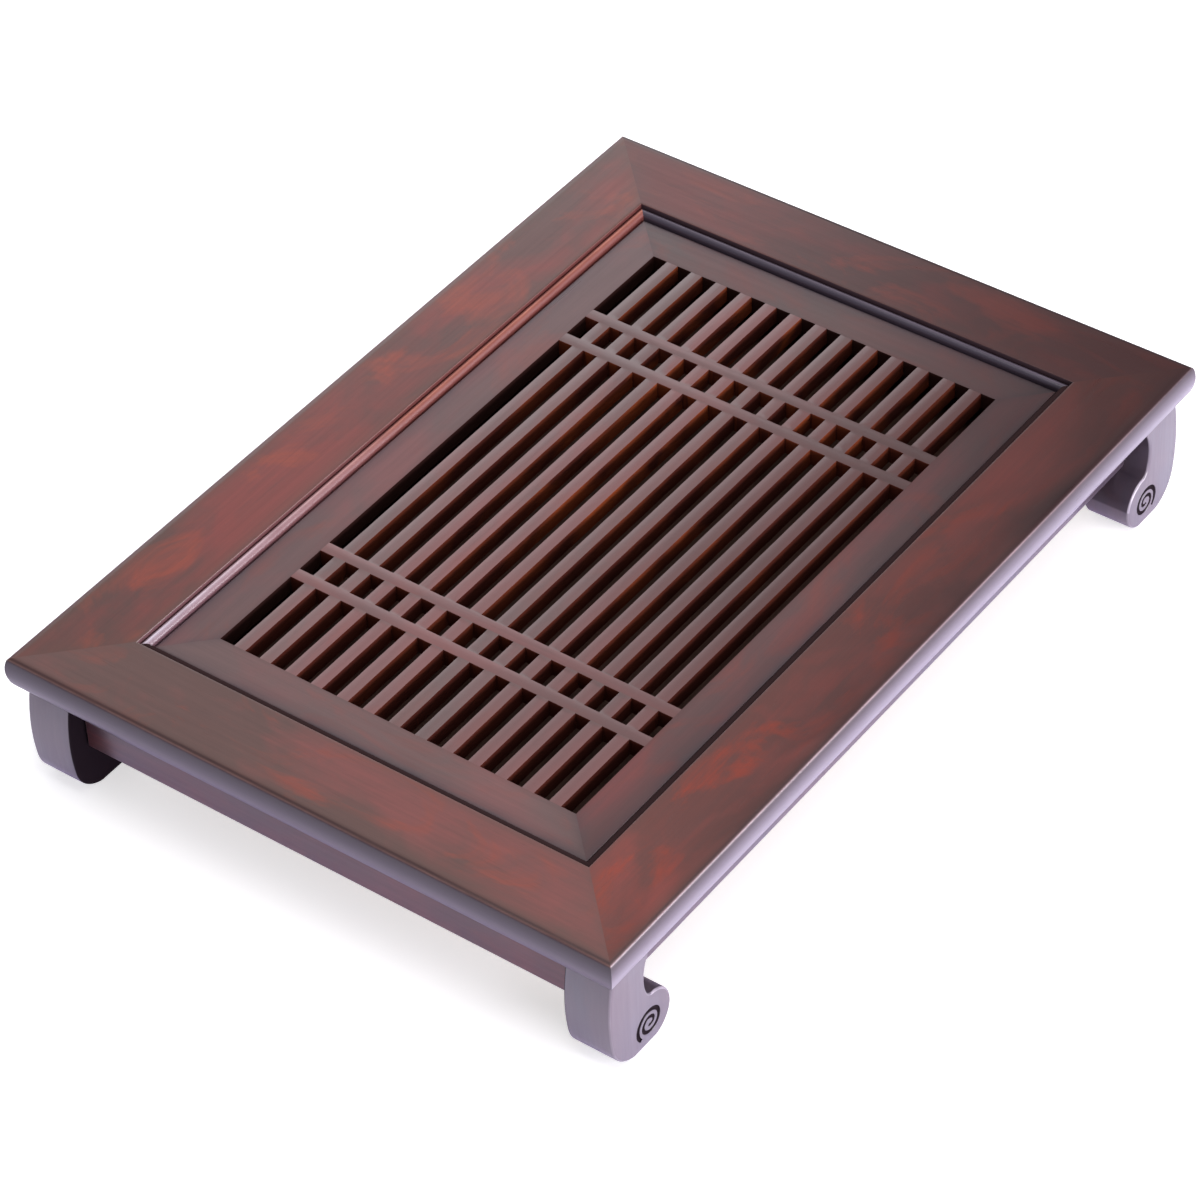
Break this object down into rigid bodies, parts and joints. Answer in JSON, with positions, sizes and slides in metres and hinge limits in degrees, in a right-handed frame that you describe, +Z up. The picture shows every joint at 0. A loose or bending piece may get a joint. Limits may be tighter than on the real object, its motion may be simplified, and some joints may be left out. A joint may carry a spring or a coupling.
{
  "type": "gongfu tea tray",
  "caption": "Rectangular wooden tea tray on scroll feet, with a mitred frame, a lift-out slatted grille and a drawer with a water liner.",
  "frame": {"origin": "on the surface that the tray stands on, under its middle", "axes": "+X along the long side, with the drawer at the -X end; +Y along the short side; +Z up"},
  "size_m": [0.406, 0.289, 0.066],
  "materials": {
    "frame_wood": "satin lacquer, reddish brown",
    "foot_wood": "satin lacquer, reddish brown",
    "apron_wood": "satin lacquer, dark brown",
    "grille_border_wood": "satin lacquer, reddish brown",
    "slat_wood": "satin lacquer, pinkish grey brown",
    "drawer_front_wood": "satin lacquer, pinkish brown",
    "inner_wood": "bare, planed",
    "joint_wood": "bare beech",
    "liner_plastic": "matte, dark brown"
  },
  "bodies": {
    "tray_frame": {"rail_right": "frame_wood", "rail_left": "frame_wood", "rail_far": "frame_wood", "rail_near": "frame_wood", "foot_near_right": "foot_wood", "foot_near_left": "foot_wood", "foot_far_right": "foot_wood", "foot_far_left": "foot_wood", "apron_right": "apron_wood", "apron_left": "apron_wood", "apron_far": "apron_wood", "runner_right": "inner_wood", "runner_left": "inner_wood", "mitre_splines": "joint_wood"},
    "grille": {"grille_border_right": "grille_border_wood", "grille_border_left": "grille_border_wood", "grille_border_far": "grille_border_wood", "grille_border_near": "grille_border_wood", "slat_01": "slat_wood", "slat_02": "slat_wood", "slat_03": "slat_wood", "slat_04": "slat_wood", "slat_05": "slat_wood", "slat_06": "slat_wood", "slat_07": "slat_wood", "slat_08": "slat_wood", "slat_09": "slat_wood", "slat_10": "slat_wood", "slat_11": "slat_wood", "slat_12": "slat_wood", "slat_13": "slat_wood", "cross_bar_1": "slat_wood", "cross_bar_2": "slat_wood", "cross_bar_3": "slat_wood", "cross_bar_4": "slat_wood"},
    "drawer": {"drawer_front": "drawer_front_wood", "drawer_side_right": "inner_wood", "drawer_side_left": "inner_wood", "drawer_back": "inner_wood", "drawer_bottom": "inner_wood", "water_liner": "liner_plastic"}
  },
  "joints": [
    {"name": "grille_lift", "type": "slide", "parent": "tray_frame", "child": "grille", "axis": [0, 0, 1], "range_m": [0, 0.05]},
    {"name": "drawer_slide", "type": "slide", "parent": "tray_frame", "child": "drawer", "axis": [-1, 0, 0], "range_m": [0, 0.386]}
  ]
}
